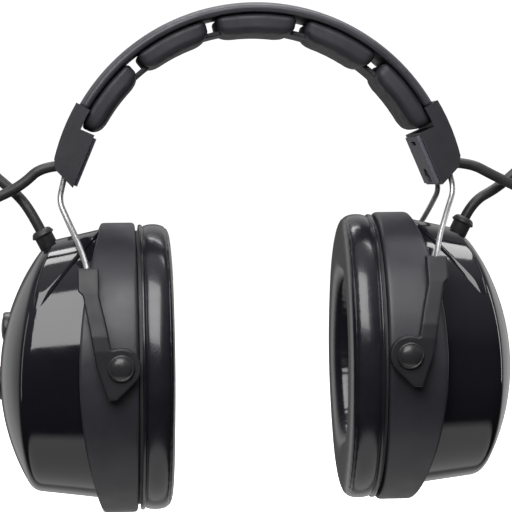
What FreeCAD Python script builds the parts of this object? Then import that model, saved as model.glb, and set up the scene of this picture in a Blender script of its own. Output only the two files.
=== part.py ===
import FreeCAD, Part
import math
import os
import re

import Sketcher
from FreeCAD import Placement, Rotation, Vector

# Headband earmuff with two electronic cups, in millimetres.
# +X points to the right as seen from the front, +Y points to the back, +Z is up.
# The origin is the middle of the crown pad's underside, where the band rests on a head.

SIZES = {
    # headband
    "band_radius": 74.1,
    "crown_drop": 62.3,
    "band_thick": 3.8,
    "band_half_width": 17.8,
    "band_end_angle": 70.0,
    "tongue_half_width": 14.3,
    "strip_inner_radius": 71.5,
    "strip_thick": 1.2,
    "strip_half_width": 10.0,
    "lead_radius": 1.1,
    "lead_offset": 12.4,
    "pad_half_width": 16.0,
    "pad_gap_half_angle": 1.6,
    "first_gap_angle": 13.8,
    "second_gap_angle": 40.0,
    "last_pad_angle": 64.6,
    "link_inner_radius": 63.6,
    "link_thick": 1.7,
    "link_half_width": 11.0,
    # end caps
    "cap_start_angle": 59.5,
    "cap_step_angle": 65.7,
    "cap_outer_radius": 75.3,
    "cap_half_width": 19.0,
    "cap_knee_angle": 76.0,
    "plate_thick": 1.2,
    "plate_half_width": 14.5,
    # suspension
    "wire_radius": 1.0,
    "wire_clearance": 0.05,
    "wire_half_gap": 16.5,
    "slide_lean": 13.0,
    "exit_x": 69.6,
    "exit_z": -51.0,
    "wire_hidden": 19.0,
    "bore_depth": 25.0,
    "left_drop": 3.0,
    "arm_thick": 3.6,
    "pivot_x": 50.0,
    "pivot_z": -113.9,
    "pivot_radius": 3.0,
    "pivot_clearance": 0.06,
    "button_head_radius": 4.7,
    "button_head_thick": 2.0,
    "boss_radius": 6.0,
    "boss_reach": 44.0,
    "pin_start": 40.4,
    "pin_shoulder": 48.1,
    # cups
    "cup_z": -117.3,
    "ring_half_width": 43.0,
    "ring_half_height": 52.9,
    "ring_wall": 2.0,
    "ring_inner_x": 43.3,
    "ring_bow_radius": 169.5,
    "ring_crest_x": 64.5,
    "port_half_width": 27.0,
    "port_half_height": 37.0,
    "cushion_face_x": 30.2,
    "cushion_half_width": 42.0,
    "cushion_half_height": 51.2,
    "ear_half_width": 19.5,
    "ear_half_height": 30.5,
    "plate_outer_width": 41.0,
    "plate_outer_height": 50.0,
    "plate_port_width": 24.0,
    "plate_port_height": 35.0,
    "shell_start_x": 52.0,
    "base_half_width": 40.4,
    "base_half_height": 49.2,
    "base_z": -116.1,
    "tip_x": 96.0,
    "tip_half_width": 34.0,
    "tip_half_height": 41.5,
    "tip_z": -118.2,
    "shell_crest_x": 93.0,
    "shell_wall": 2.5,
    "face_radius": 77.0,
    "shell_round": 6.0,
    "lid_width": 40.0,
    "lid_gap": 0.3,
    "lid_foot_gap": 0.65,
    "lid_foot": -142.5,
    "lid_head": -93.0,
    "hinge_x": 88.6,
    "hinge_z": -143.6,
    "knuckle_radius": 1.25,
    "knuckle_half": 5.0,
    "pin_radius": 0.6,
    "pin_half": 7.5,
    "key_radius": 6.2,
    "key_round": 1.6,
    "key_length": 9.6,
    "key_depth": 7.4,
    "key_travel": 1.0,
    "key_y": -2.0,
    "face_z": -120.5,
    "cover_x": 63.5,
    "cover_reach": 24.0,
    "cover_rise": 1.1,
    "cover_depth": 7.3,
    "grommet_x": 77.6,
    "grommet_z": -67.0,
    "grommet_lean": 27.0,
    "grommet_radius": 3.4,
    "grommet_length": 9.0,
    "cable_radius": 1.9,
    "cable_last_run": 7.0,
    # inside the cups
    "foam_half_width": 38.0,
    "foam_half_height": 47.0,
    "foam_end_x": 51.6,
    "baffle_half_width": 37.2,
    "baffle_half_height": 45.8,
    "baffle_x": 52.3,
    "baffle_thick": 1.7,
    "post_radius": 2.0,
    "post_y": 22.0,
    "post_rise": 23.0,
    "post_length": 12.0,
    "speaker_z": -117.0,
    "sound_port_radius": 13.0,
    "speaker_radius": 17.0,
    "speaker_thick": 5.0,
    "magnet_radius": 10.0,
    "magnet_thick": 4.0,
    "board_thick": 1.6,
    "board_half_width": 25.0,
    "board_foot": -143.0,
    "board_head": -91.0,
    "switch_radius": 3.0,
    "cradle_half_width": 19.0,
    "cradle_foot": -146.0,
    "cradle_head": -90.0,
    "cradle_end_x": 79.0,
    "cradle_wall": 2.0,
    "cradle_end_wall": 1.6,
    "cell_radius": 7.2,
    "cell_x": 75.4,
    "cell_y": 8.0,
    "cell_foot": -143.0,
    "cell_length": 49.0,
    "cell_tip_radius": 2.7,
    "contact_radius": 3.0,
    "contact_thick": 1.2,
    # small features
    "bead": 1.3,
    "pad_round": 3.0,
    "cushion_round": 5.0,
    "rivet_angle": 67.5,
    "rivet_offset": 6.0,
    "rivet_radius": 1.2,
    "rivet_foot": 2.5,
    "rivet_length": 5.6,
    "cap_tuck": 0.5,
    "cap_face_lean": 22.9,
    "hollow_radius": 3.6,
    "plate_length": 19.4,
    "pivot_boss": 7.0,
    "wire_straight": 5.5,
    "wire_bend": 8.0,
}

SIDES = {"left": 180.0, "right": 0.0}
ENDS = {"front": -1, "rear": 1}
ALIAS = re.compile(r"\b(" + "|".join(SIZES) + r")\b")

os.makedirs("parts", exist_ok=True)
doc = FreeCAD.newDocument("earmuff")
sheet = doc.addObject("Spreadsheet::Sheet", "Sizes")
for row, (alias, number) in enumerate(SIZES.items(), start=1):
    sheet.set(f"A{row}", alias)
    sheet.set(f"B{row}", str(number))
    sheet.setAlias(f"B{row}", alias)
doc.recompute()

nodes = []


def bound(text):
    """Puts the sheet's name before each alias in an expression."""
    return ALIAS.sub(r"Sizes.\1", text)


def number(text):
    """What an expression of aliases comes to."""
    return float(sheet.evalExpression(text))


def bind(obj, **expressions):
    for name, text in expressions.items():
        obj.setExpression(name, bound(text))
    return obj


def place(obj, x="0", y="0", z="0", turn=None):
    """Sets an object's place from expressions; turn is (axis, degrees)."""
    if turn:
        obj.Placement = Placement(Vector(), Rotation(Vector(*turn[0]), turn[1]))
    for letter, text in zip("xyz", (x, y, z)):
        obj.setExpression(f".Placement.Base.{letter}", bound(text))
    return obj


def node(obj, label):
    """Names a finished piece; its label is its file's name."""
    obj.Label = label
    nodes.append(obj)
    return obj


def seat(obj, side, label, parked=True):
    """Names a piece of one side. The left side is the right side turned half round and let down."""
    obj.Placement = Placement(Vector(), Rotation(Vector(0, 0, 1), SIDES[side]))
    if side == "left" and parked:
        obj.setExpression(".Placement.Base.x", bound("-left_drop * sin(slide_lean)"))
        obj.setExpression(".Placement.Base.z", bound("-left_drop * cos(slide_lean)"))
    return node(obj, label)


def primitive(kind, name, turn=None, at=("0", "0", "0"), **expressions):
    obj = bind(doc.addObject(f"Part::{kind}", name), **expressions)
    return place(obj, *at, turn=turn)


def block(name, x, y, z):
    """A box between three pairs of expressions."""
    return primitive(
        "Box",
        name,
        at=(x[0], y[0], z[0]),
        Length=f"({x[1]}) - ({x[0]})",
        Width=f"({y[1]}) - ({y[0]})",
        Height=f"({z[1]}) - ({z[0]})",
    )


def rod(name, radius, start, length, axis):
    """A cylinder from start along +X or +Y."""
    turn = {"x": ((0, 1, 0), 90), "y": ((1, 0, 0), -90), "z": None}[axis]
    return primitive("Cylinder", name, turn=turn, at=start, Radius=radius, Height=length)


def cut(name, base, *tools):
    """Cuts each tool from the base in turn."""
    for tool in tools:
        obj = doc.addObject("Part::Cut", name)
        obj.Base = base
        obj.Tool = tool
        base = obj
    return base


def fuse(name, *shapes):
    obj = doc.addObject("Part::MultiFuse", name)
    obj.Shapes = list(shapes)
    return obj


def common(name, *shapes):
    obj = doc.addObject("Part::MultiCommon", name)
    obj.Shapes = list(shapes)
    return obj


def group(shape):
    """Holds one shape, so that it can be turned and moved as a whole."""
    obj = doc.addObject("Part::Compound", shape.Name + "_group")
    obj.Links = [shape]
    return obj


def new_body(name):
    return doc.addObject("PartDesign::Body", name)


def origin_plane(body, role):
    return next(f for f in body.Origin.OriginFeatures if f.Role == role)


def sketch(body, role, points, offset="0"):
    """A closed outline on an origin plane. Each point is (x, y) or (x, y, radius): with a radius, the
    side that starts there is an arc, turning left if the radius is positive and right if negative.
    All are expressions."""
    sk = body.newObject("Sketcher::SketchObject", body.Name + "_sketch")
    sk.AttachmentSupport = (origin_plane(body, role), [""])
    sk.MapMode = "FlatFace"
    sk.setExpression("AttachmentOffset.Base.z", bound(offset))
    corners = [Vector(number(p[0]), number(p[1]), 0) for p in points]
    for i, point in enumerate(points):
        a, b = corners[i], corners[(i + 1) % len(corners)]
        if len(point) == 2:
            sk.addGeometry(Part.LineSegment(a, b), False)
        else:
            sk.addGeometry(arc_between(a, b, number(point[2])), False)
    ends = []
    for i, point in enumerate(points):
        backwards = len(point) == 3 and number(point[2]) < 0
        ends.append((2, 1) if backwards else (1, 2))
    for i in range(len(points)):
        following = (i + 1) % len(points)
        sk.addConstraint(
            Sketcher.Constraint("Coincident", i, ends[i][1], following, ends[following][0])
        )
    for i, point in enumerate(points):
        for kind, text, value in (
            ("DistanceX", point[0], corners[i].x),
            ("DistanceY", point[1], corners[i].y),
        ):
            index = sk.addConstraint(Sketcher.Constraint(kind, -1, 1, i, ends[i][0], value))
            sk.renameConstraint(index, f"{kind[-1].lower()}{i}")
            sk.setExpression(f"Constraints.{kind[-1].lower()}{i}", bound(text))
        if len(point) == 3:
            index = sk.addConstraint(Sketcher.Constraint("Radius", i, abs(number(point[2]))))
            sk.renameConstraint(index, f"r{i}")
            sk.setExpression(f"Constraints.r{i}", bound(f"abs({point[2]})"))
    return sk


def arc_between(a, b, radius):
    """The shorter arc from a to b; it turns left for a positive radius."""
    middle = (a + b) / 2
    along = b - a
    away = math.sqrt(max(radius * radius - along.Length**2 / 4, 0))
    left = Vector(-along.y, along.x, 0).normalize()
    centre = middle + left * (away if radius > 0 else -away)
    start, end = (a, b) if radius > 0 else (b, a)
    first = math.atan2(start.y - centre.y, start.x - centre.x)
    last = math.atan2(end.y - centre.y, end.x - centre.x)
    circle = Part.Circle(centre, Vector(0, 0, 1), abs(radius))
    return Part.ArcOfCircle(circle, first, last if last > first else last + 2 * math.pi)


def circle_sketch(body, role, x, y, radius, offset="0"):
    sk = body.newObject("Sketcher::SketchObject", body.Name + "_ring")
    sk.AttachmentSupport = (origin_plane(body, role), [""])
    sk.MapMode = "FlatFace"
    sk.setExpression("AttachmentOffset.Base.z", bound(offset))
    centre = Vector(number(x), number(y), 0)
    sk.addGeometry(Part.Circle(centre, Vector(0, 0, 1), number(radius)), False)
    for name, constraint, text in (
        ("cx", Sketcher.Constraint("DistanceX", -1, 1, 0, 3, centre.x), x),
        ("cy", Sketcher.Constraint("DistanceY", -1, 1, 0, 3, centre.y), y),
        ("cr", Sketcher.Constraint("Radius", 0, number(radius)), radius),
    ):
        index = sk.addConstraint(constraint)
        sk.renameConstraint(index, name)
        sk.setExpression(f"Constraints.{name}", bound(text))
    return sk


def extrude(body, kind, sk, length, both=False):
    """A Pad or Pocket of a sketch; both sides of its plane if asked."""
    feature = body.newObject(f"PartDesign::{kind}", body.Name + "_" + kind.lower())
    feature.Profile = sk
    feature.setExpression("Length", bound(length))
    if both:
        feature.SideType = "Symmetric"
    doc.recompute()
    return feature


def pad(body, sk, length, both=False):
    return extrude(body, "Pad", sk, length, both)


def pocket(body, sk, length, both=False, through=False, reverse=False):
    before = body.Shape.Volume
    feature = extrude(body, "Pocket", sk, length, both)
    feature.Reversed = reverse
    if through:
        feature.Type = "ThroughAll"
    doc.recompute()
    if body.Shape.Volume > before - 1e-3:
        raise RuntimeError(f"{feature.Name} cuts nothing")
    return feature


def revolve(body, sk, degrees):
    """Turns a sketch about its own horizontal axis, half to each side of its plane."""
    feature = body.newObject("PartDesign::Revolution", body.Name + "_revolution")
    feature.Profile = sk
    feature.ReferenceAxis = (sk, ["H_Axis"])
    feature.Midplane = True
    feature.setExpression("Angle", bound(degrees))
    doc.recompute()
    return feature


def tube(name, points, radius, tight=0.45, first_bend=None):
    """A round tube along straight runs joined by tangent arcs, each as large as its runs allow unless
    the first one's radius is given. Returns the tube, the arcs' radii and the length."""
    edges, radii, start = [], [], points[0]
    for before, corner, after in zip(points, points[1:], points[2:]):
        into, out = corner - before, after - corner
        half_turn = into.getAngle(out) / 2
        reach = tight * min(into.Length, out.Length)
        if first_bend and not radii:
            reach = first_bend * math.tan(half_turn)
        radii.append(reach / math.tan(half_turn))
        into.normalize()
        out.normalize()
        first, last = corner - into * reach, corner + out * reach
        middle = corner + (out - into).normalize() * (radii[-1] / math.cos(half_turn) - radii[-1])
        edges.append(Part.LineSegment(start, first).toShape())
        edges.append(Part.Arc(first, middle, last).toShape())
        start = last
    edges.append(Part.LineSegment(start, points[-1]).toShape())
    path = Part.Wire(edges)
    profile = Part.Wire([Part.Circle(points[0], points[1] - points[0], radius).toShape()])
    solid = path.makePipeShell([profile], True, True)
    if not solid.Shells:
        raise RuntimeError(f"{name} made no tube")
    expected = math.pi * radius * radius * path.Length
    if abs(solid.Volume - expected) > 0.01 * expected:
        raise RuntimeError(f"{name}: volume {solid.Volume:.0f}, expected {expected:.0f}")
    obj = doc.addObject("Part::Feature", name)
    obj.Shape = solid
    return obj, radii, path.Length


def oval(name, half_width, half_height, x, z):
    """An upright ellipse facing along X."""
    return primitive(
        "Ellipse",
        name,
        turn=((0, 1, 0), -90),
        at=(x, "0", z),
        MajorRadius=half_height,
        MinorRadius=half_width,
    )


def oval_slab(name, half_width, half_height, start, end, z):
    """A solid with an elliptical outline between two values of x."""
    slab = doc.addObject("Part::Extrusion", name)
    slab.Base = oval(name + "_outline", half_width, half_height, start, z)
    slab.DirMode = "Custom"
    slab.Dir = Vector(1, 0, 0)
    slab.Solid = True
    return bind(slab, LengthFwd=f"({end}) - ({start})")


def oval_loft(name, first, last):
    """A tapered solid between two ellipses, each (half width, half height, x, z)."""
    loft = doc.addObject("Part::Loft", name)
    loft.Sections = [oval(name + "_base", *first), oval(name + "_tip", *last)]
    loft.Solid = True
    return loft


def fillet(name, base, radius, test):
    doc.recompute()
    obj = doc.addObject("Part::Fillet", name)
    obj.Base = base
    size = number(radius)
    obj.Edges = [
        (i + 1, size, size) for i, edge in enumerate(base.Shape.Edges) if test(edge)
    ]
    return obj


# ---------------------------------------------------------------- headband
# These pieces are built about the centre of the band's circle and let down by crown_drop.


def arc_body(name, outlines):
    """A body turned about the band's Y axis from (outline, degrees) pairs in the YZ plane."""
    body = new_body(name)
    for outline, degrees in outlines:
        revolve(body, sketch(body, "YZ_Plane", outline), degrees)
    return place(body, z="-crown_drop")


def rectangle(half_width, inner, thick):
    return [
        (f"-({half_width})", inner),
        (half_width, inner),
        (half_width, f"({inner}) + ({thick})"),
        (f"-({half_width})", f"({inner}) + ({thick})"),
    ]


def band_tunnels():
    """What runs inside the band: the spring strip's slot and the lead's bore."""
    slot = arc_body(
        "strip_slot",
        [(rectangle("strip_half_width", "strip_inner_radius", "strip_thick"), "2 * band_end_angle + 2")],
    )
    bore = lead("lead_bore", "lead_radius", "2 * band_end_angle + 2")
    return slot, bore


def lead(name, radius, degrees):
    body = new_body(name)
    outline = circle_sketch(body, "YZ_Plane", "lead_offset", LEAD_LEVEL, radius)
    revolve(body, outline, degrees)
    return place(body, z="-crown_drop")


LEAD_LEVEL = "strip_inner_radius + strip_thick / 2"
RIVET_SPOTS = [(side, end) for side in (-1, 1) for end in (-1, 1)]


def rivets(name, inner, length):
    """Four radial pins that hold the strip's ends, two at each end."""
    pins = []
    for side, end in RIVET_SPOTS:
        turn = ((0, 1, 0), side * number("rivet_angle"))
        where = (
            f"({inner}) * sin({side} * rivet_angle)",
            f"{end} * rivet_offset",
            f"({inner}) * cos(rivet_angle) - crown_drop",
        )
        pin = primitive("Cylinder", name, turn=turn, at=where, Radius="rivet_radius", Height=length)
        pins.append(pin)
    return fuse(name + "_all", *pins)


def build_band():
    edge = "band_half_width"
    inner = "band_radius - band_thick"
    cover_outline = [
        (f"-{edge} + bead", inner),
        (f"{edge} - bead", inner, "bead"),
        (f"{edge} - bead", f"{inner} + 2 * bead"),
        (f"{edge} - bead - 1.2", "band_radius"),
        (f"-{edge} + bead + 1.2", "band_radius"),
        (f"-{edge} + bead", f"{inner} + 2 * bead", "bead"),
    ]
    tongue_outline = rectangle("tongue_half_width", inner, "band_thick")
    cover = arc_body(
        "cover",
        [(tongue_outline, "2 * band_end_angle"), (cover_outline, "2 * cap_start_angle")],
    )
    rivet_bores = rivets("cover_rivet_bore", "band_radius - band_thick - 1", "band_thick + 0.4")
    node(cut("cover_cut", cover, *band_tunnels(), rivet_bores), "band_cover")

    strip_outline = rectangle("strip_half_width", "strip_inner_radius", "strip_thick")
    strip = arc_body("strip", [(strip_outline, "2 * band_end_angle - 0.6")])
    strip_bores = rivets("strip_rivet_bore", "strip_inner_radius - 1", "strip_thick + 2")
    node(cut("strip_cut", strip, strip_bores), "band_spring")
    node(lead("lead", "lead_radius", "2 * band_end_angle"), "band_lead")
    node(
        rivets("rivet", "band_radius - band_thick - rivet_foot", "rivet_length"),
        "spring_rivets",
    )


def build_liner():
    low, top, edge = "crown_drop", "band_radius - band_thick", "pad_half_width"
    outline = [
        (f"-{edge}", top),
        (f"-{edge}", f"{low} + pad_round", "pad_round"),
        (f"-{edge} + pad_round", low),
        (f"{edge} - pad_round", low, "pad_round"),
        (edge, f"{low} + pad_round"),
        (edge, top),
    ]
    body = new_body("liner")
    revolve(body, sketch(body, "YZ_Plane", outline), "2 * last_pad_angle")
    for side in (-1, 1):
        for gap in ("first_gap_angle", "second_gap_angle"):
            near = f"{side} * ({gap} - pad_gap_half_angle)"
            far = f"{side} * ({gap} + pad_gap_half_angle)"
            under, over = f"{low} - 2", f"{top} + 2"
            wedge = [
                (f"({r}) * sin({angle})", f"({r}) * cos({angle})")
                for r, angle in ((under, near), (over, near), (over, far), (under, far))
            ]
            pocket(body, sketch(body, "XZ_Plane", wedge), "3 * pad_half_width", both=True)
        near, far = f"{side} * (cap_start_angle - 0.3)", f"{side} * (last_pad_angle + 1)"
        low_edge, high_edge = f"{top} - cap_tuck - 0.1", f"{top} + 1"
        relief = [
            (f"({r}) * sin({angle})", f"({r}) * cos({angle})")
            for r, angle in ((low_edge, near), (high_edge, near), (high_edge, far), (low_edge, far))
        ]
        pocket(body, sketch(body, "XZ_Plane", relief), "3 * pad_half_width", both=True)
    link = rectangle("link_half_width", "link_inner_radius", "link_thick")
    revolve(body, sketch(body, "YZ_Plane", link), "2 * last_pad_angle - 4")
    node(place(body, z="-crown_drop"), "comfort_liner")


# Corners of an end cap, as height above the band's centre, where z = -crown_drop.
CAP_FOOT = ("72.6", "14.3")
CAP_TOE = ("66.5", "7.8")
CAP_HEEL = ("58.6", "26.5")


def slide_point(depth):
    """The wire's axis at a distance above the cap's foot, measured along the slide."""
    return (f"exit_x - ({depth}) * sin(slide_lean)", f"exit_z + ({depth}) * cos(slide_lean)")


def slide_bores(name):
    """The two blind bores that the wires run in."""
    bores = []
    for end in (-1, 1):
        x, z = slide_point("-4")
        bore = primitive(
            "Cylinder",
            name,
            turn=((0, 1, 0), -number("slide_lean")),
            at=(x, f"{end} * wire_half_gap", z),
            Radius="wire_radius + wire_clearance",
            Height="bore_depth + 4",
        )
        bores.append(bore)
    return bores


def build_cap(side):
    top, shelf = "cap_outer_radius", "band_radius - band_thick - cap_tuck"
    first, step, knee = "cap_start_angle", "cap_step_angle", "cap_knee_angle"
    outline = [
        (f"{top} * sin({first})", f"{top} * cos({first})", f"-{top}"),
        (f"{top} * sin({knee})", f"{top} * cos({knee})"),
        CAP_FOOT,
        CAP_TOE,
        CAP_HEEL,
        (f"({shelf}) * sin({step})", f"({shelf}) * cos({step})", shelf),
        (f"({shelf}) * sin({first})", f"({shelf}) * cos({first})"),
    ]
    body = new_body(f"cap_{side}")
    pad(body, sketch(body, "XZ_Plane", outline), "2 * cap_half_width", both=True)
    place(body, z="-crown_drop")
    tongue_outline = rectangle("tongue_half_width", "band_radius - band_thick", "band_thick")
    tongue = arc_body(f"cap_{side}_tongue", [(tongue_outline, "2 * band_end_angle")])
    hollow = rod(f"cap_{side}_hollow", "hollow_radius", ("58", "0", "-51.2"), "8", "x")
    outlet = rod(f"cap_{side}_outlet", "cable_radius", CABLE_START[side], "12", "x")
    rivet_foot = "band_radius - band_thick - rivet_foot"
    tools = [tongue, hollow, outlet, rivets(f"cap_{side}_rivet", rivet_foot, "rivet_length")]
    tools += slide_bores(f"cap_{side}_bore")
    seat(cut(f"cap_{side}_cut", body, *tools), side, f"end_cap_{side}", parked=False)

    # The plate lies on the face between toe and heel, which leans by cap_face_lean.
    lean = "cap_face_lean"
    plate = new_body(f"plate_{side}")

    def along(distance, lift):
        return (
            f"{CAP_TOE[0]} - ({distance}) * sin({lean}) - ({lift}) * cos({lean})",
            f"{CAP_TOE[1]} + ({distance}) * cos({lean}) - ({lift}) * sin({lean})",
        )

    lift = "0.02"
    corners = [
        along("1", lift),
        along("plate_length", lift),
        along("plate_length", f"{lift} + plate_thick"),
        along("1", f"{lift} + plate_thick"),
    ]
    pad(plate, sketch(plate, "XZ_Plane", corners), "2 * plate_half_width", both=True)
    slot = [("-4.5", "22.2"), ("4.5", "22.2"), ("4.5", "23.6"), ("-4.5", "23.6")]
    pocket(plate, sketch(plate, "YZ_Plane", slot), "90", reverse=True)
    mouth = [("-5", "4"), ("5", "4"), ("5", "11"), ("2.5", "13.6"), ("-2.5", "13.6"), ("-5", "11")]
    pocket(plate, sketch(plate, "YZ_Plane", mouth), "90", reverse=True)
    place(plate, z="-crown_drop")
    seat(group(plate), side, f"cap_plate_{side}", parked=False)


# Where each side's cable starts inside its cap.
CABLE_START = {"left": ("68.5", "5", "-46.4"), "right": ("68.5", "-5", "-46.4")}


# ---------------------------------------------------------------- wires and arms

# Corners of a wire below the cap's foot: (x, distance from the middle plane, z).
WIRE_CORNERS = [(67.0, 22.0, -65.2), (63.3, 30.4, -73.2), (61.1, 37.2, -80.2), (60.2, 40.4, -87.0)]
# Inner and outer face of an arm, seen from the side: (distance from the middle plane, z).
ARM_INNER = [(33.9, -79.3), (38.4, -88.0), (41.6, -96.0), (44.0, -103.0), (44.2, -107.0), (44.2, -127.0)]
ARM_OUTER = [(39.6, -79.3), (43.4, -88.0), (45.7, -96.0), (47.5, -103.0), (48.0, -108.0), (48.0, -127.0)]


def boss_point(degrees):
    return (f"pivot_x + pivot_boss * cos({degrees})", f"pivot_z + pivot_boss * sin({degrees})")


def wire(name, end):
    """A spring wire: straight in the cap, then flaring down to its arm."""
    corners = [
        Vector(number(x), end * number("wire_half_gap"), number(z))
        for x, z in (slide_point("wire_hidden"), slide_point("-wire_straight"))
    ]
    corners += [Vector(x, end * y, z) for x, y, z in WIRE_CORNERS]
    return tube(name, corners, number("wire_radius"), first_bend=number("wire_bend"))[0]


def arm(name, end, wire_solid):
    """A flat suspension arm: its front outline crossed with its side outline, bored for its wire."""
    front = [
        ("57.2", "-79.6"),
        ("64.6", "-79.6"),
        ("64.6", "-87.4"),
        ("62.9", "-89"),
        ("61", "-99"),
        ("58.6", "-113"),
        ("54.6", "-125"),
        ("51.4", "-125"),
        boss_point("230") + ("-pivot_boss",),
        boss_point("62"),
        ("54.9", "-99"),
        ("57.2", "-89"),
    ]
    blade = new_body(name + "_blade")
    pad(blade, sketch(blade, "XZ_Plane", front), "100", both=True)
    side_outline = [(str(end * y), str(z)) for y, z in ARM_INNER + ARM_OUTER[::-1]]
    profile = new_body(name + "_profile")
    pad(profile, sketch(profile, "YZ_Plane", side_outline), "80")
    hole_start = ("pivot_x", f"{end} * 60", "pivot_z")
    hole = primitive(
        "Cylinder",
        name + "_hole",
        turn=((1, 0, 0), end * 90),
        at=hole_start,
        Radius="pivot_radius + pivot_clearance",
        Height="30",
    )
    return cut(name + "_cut", common(name + "_solid", blade, profile), hole, wire_solid)


def build_yoke(side):
    for label, world_end in ENDS.items():
        end = world_end if side == "right" else -world_end
        wire_solid = wire(f"{side}_{label}_wire_form", end)
        arm_solid = arm(f"{side}_{label}_arm_form", end, wire_solid)
        seat(group(wire_solid), side, f"{side}_wire_{label}")
        seat(arm_solid, side, f"{side}_arm_{label}")


# ---------------------------------------------------------------- cups


def shell_sides(name, inset):
    """The tapered oval that a cup's shell is cut from, inset by some thickness."""
    base = (f"base_half_width - ({inset})", f"base_half_height - ({inset})", "shell_start_x", "base_z")
    tip = (f"tip_half_width - ({inset})", f"tip_half_height - ({inset})", "tip_x", "tip_z")
    return oval_loft(name, base, tip)


def shell_form(name, inset):
    """The outer form of a cup's shell, or the same form inset by its wall."""
    ball = primitive(
        "Sphere",
        name + "_ball",
        turn=((0, 0, 1), 180),
        at=("shell_crest_x - face_radius", "0", "face_z"),
        Radius=f"face_radius - ({inset})",
    )
    return common(name, shell_sides(name + "_loft", inset), ball)


def rim_edge(edge):
    """The edge where the shell's side meets its domed face."""
    return edge.BoundBox.XMin > 60 and edge.BoundBox.YLength > 20


def build_shell(side):
    outer = fillet(f"{side}_shell_outer", shell_form(f"{side}_shell_form", "0"), "shell_round", rim_edge)
    inner = shell_form(f"{side}_shell_core", "shell_wall")
    mouth = oval_slab(
        f"{side}_shell_mouth",
        "base_half_width - shell_wall",
        "base_half_height - shell_wall",
        "shell_start_x - 1",
        "shell_start_x + 0.2",
        "base_z",
    )
    bore = grommet_piece("Cylinder", f"{side}_cable_bore", "30", "40", Radius="grommet_radius")
    tools = [inner, mouth, bore]
    if side == "left":
        for z in KEY_LEVELS.values():
            tools.append(rod(f"key_hole_{z}", "key_radius + 0.15", ("80", "key_y", z), "20", "x"))
    else:
        tall = ("lid_foot - lid_foot_gap", "lid_head + lid_gap")
        opening = block("lid_space", ("70", "99"), LID_WIDE, tall)
        notch = block(
            "knuckle_space",
            ("hinge_x - 3", "hinge_x + 4"),
            ("-knuckle_half - lid_gap", "knuckle_half + lid_gap"),
            ("hinge_z - knuckle_radius - lid_gap", "lid_foot - lid_gap"),
        )
        pin_hole = rod("pin_hole", "pin_radius", ("hinge_x", "-pin_half", "hinge_z"), "2 * pin_half", "y")
        tools += [opening, notch, pin_hole]
        build_lid()
    shell = cut(f"{side}_shell_cut", outer, *tools)
    seat(shell, side, f"{side}_shell")


LID_WIDE = ("-lid_width / 2 - lid_gap", "lid_width / 2 + lid_gap")
KEY_LEVELS = {"upper": "-102.7", "lower": "-122.5"}


def build_lid():
    """The battery lid: a piece of the shell's wall with a hinge knuckle, and the pin it turns on."""
    wall = cut("lid_wall", shell_form("lid_form", "0"), shell_form("lid_core", "shell_wall"))
    wide = ("-lid_width / 2", "lid_width / 2")
    outline = block("lid_block", ("70", "99"), wide, ("lid_foot", "lid_head"))
    start = ("hinge_x", "-knuckle_half", "hinge_z")
    knuckle = rod("knuckle", "knuckle_radius", start, "2 * knuckle_half", "y")
    web = block(
        "knuckle_web",
        ("hinge_x - knuckle_radius", "hinge_x + knuckle_radius"),
        ("-knuckle_half", "knuckle_half"),
        ("hinge_z", "lid_foot + 0.5"),
    )
    whole = fuse("lid_fused", common("lid_skin", wall, outline), knuckle, web)
    bore = rod("knuckle_bore", "pin_radius + pivot_clearance", start, "2 * knuckle_half", "y")
    seat(cut("lid_cut", whole, bore), "right", "battery_lid")
    pin = rod("lid_pin", "pin_radius", ("hinge_x", "-pin_half", "hinge_z"), "2 * pin_half", "y")
    seat(group(pin), "right", "lid_hinge_pin")


def build_ring(side):
    """The matte ring that carries the cushion and the pivots."""
    start, z = "ring_inner_x", "cup_z"
    outer = oval_slab(f"{side}_ring_outer", "ring_half_width", "ring_half_height", start, "70", z)
    inner = oval_slab(
        f"{side}_ring_inner",
        "ring_half_width - ring_wall",
        "ring_half_height - ring_wall",
        f"{start} + ring_wall",
        "71",
        z,
    )
    port = oval_slab(
        f"{side}_ring_port", "port_half_width", "port_half_height", f"{start} - 1", f"{start} + 3", z
    )
    bow = rod(
        f"{side}_ring_bow", "ring_bow_radius", ("ring_crest_x - ring_bow_radius", "-60", z), "120", "y"
    )
    boss_start = ("pivot_x", "-boss_reach", "pivot_z")
    bosses = rod(f"{side}_ring_bosses", "boss_radius", boss_start, "2 * boss_reach", "y")
    bore = rod(f"{side}_ring_bore", "pivot_radius", ("pivot_x", "-50", "pivot_z"), "100", "y")
    wall = fuse(f"{side}_ring_wall", common(f"{side}_ring_bowed", outer, bow), bosses)
    ring = cut(f"{side}_ring_cut", wall, inner, port, bore)
    seat(ring, side, f"{side}_mounting_ring")

    pins = []
    for end in (-1, 1):
        shaft = primitive(
            "Cylinder",
            f"{side}_pin_shaft",
            turn=((1, 0, 0), -end * 90),
            at=("pivot_x", f"{end} * pin_start", "pivot_z"),
            Radius="pivot_radius",
            Height="pin_shoulder - pin_start",
        )
        head = primitive(
            "Cone",
            f"{side}_pin_head",
            turn=((1, 0, 0), -end * 90),
            at=("pivot_x", f"{end} * pin_shoulder", "pivot_z"),
            Radius1="button_head_radius",
            Radius2="button_head_radius - 1.4",
            Height="button_head_thick",
        )
        pins += [shaft, head]
    seat(fuse(f"{side}_pins", *pins), side, f"{side}_pivot_pins")


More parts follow.
